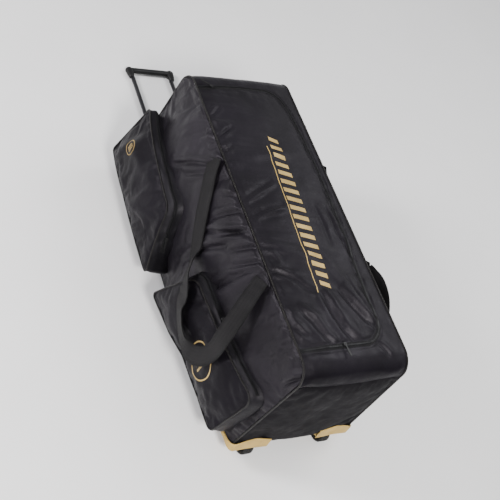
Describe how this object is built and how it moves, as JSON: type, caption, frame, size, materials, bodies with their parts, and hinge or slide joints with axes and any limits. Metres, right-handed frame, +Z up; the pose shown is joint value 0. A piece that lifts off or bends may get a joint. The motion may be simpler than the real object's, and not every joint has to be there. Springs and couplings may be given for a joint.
{
  "type": "wheeled cricket kit bag",
  "caption": "Long wheeled sports kit bag with a U-zipped lid, slanted side pockets, webbing carry handles, pull-out trolley handle and gold-coloured wheel guards.",
  "frame": {"origin": "on the floor under the middle of the cloth body's length and width", "axes": "+X towards the wheel end, -X towards the pull-out handle, -Y towards the side with two pockets, +Z up, lid on top"},
  "size_m": [1.3084, 0.5448, 0.4253],
  "materials": {
    "cloth": "charcoal coated nylon, slight violet, semi-gloss sheen",
    "heavy_cloth": "coarser charcoal coated cloth",
    "webbing": "black ribbed webbing, binding tape and zip tape",
    "black_plastic": "black moulded plastic, fine grain",
    "gold_plastic": "gold-coloured moulded plastic, satin",
    "rubber": "dark wheel rubber",
    "dark_metal": "dark anodised tube",
    "steel": "bright axle pin"
  },
  "bodies": {
    "bag": {"base_panel": "heavy_cloth", "side_panel_near": "cloth", "side_panel_far": "cloth", "piping_near": "webbing", "piping_far": "webbing", "lid_panel": "cloth", "lid_zip": "webbing", "lid_pull_handle": "black_plastic", "lid_pull_wheel": "black_plastic", "top_gusset": "cloth", "end_panel_handle": "heavy_cloth", "end_panel_wheel": "heavy_cloth", "pocket_handle_end_gusset": "cloth", "pocket_handle_end_front": "cloth", "pocket_handle_end_piping": "webbing", "pocket_handle_end_zip": "webbing", "pocket_handle_end_pull": "black_plastic", "pocket_wheel_end_gusset": "cloth", "pocket_wheel_end_front": "cloth", "pocket_wheel_end_piping": "webbing", "pocket_wheel_end_zip": "webbing", "pocket_wheel_end_pull": "black_plastic", "pocket_far_gusset": "cloth", "pocket_far_front": "cloth", "pocket_far_piping": "webbing", "pocket_far_zip": "webbing", "pocket_far_pull": "black_plastic", "carry_strap_near": "webbing", "carry_strap_far": "webbing", "haul_handle": "webbing", "wheel_guard_near": "gold_plastic", "wheel_guard_far": "gold_plastic", "axle_near": "steel", "axle_far": "steel", "trolley_collar": "black_plastic", "trolley_bracket": "black_plastic", "outer_tube_near": "dark_metal", "outer_tube_far": "dark_metal"},
    "trolley": {"trolley_grip": "black_plastic", "inner_tube_near": "dark_metal", "inner_tube_far": "dark_metal"},
    "wheel_near": {"wheel_near": "rubber"},
    "wheel_far": {"wheel_far": "rubber"}
  },
  "joints": [
    {"name": "trolley_slide", "type": "slide", "parent": "bag", "child": "trolley", "axis": [1, 0, 0], "range_m": [0, 0.34]},
    {"name": "wheel_near_spin", "type": "hinge", "parent": "bag", "child": "wheel_near", "pos_m": [0.437, -0.116, 0.028], "axis": [0, 1, 0], "continuous": true},
    {"name": "wheel_far_spin", "type": "hinge", "parent": "bag", "child": "wheel_far", "pos_m": [0.437, 0.116, 0.028], "axis": [0, 1, 0], "continuous": true}
  ]
}
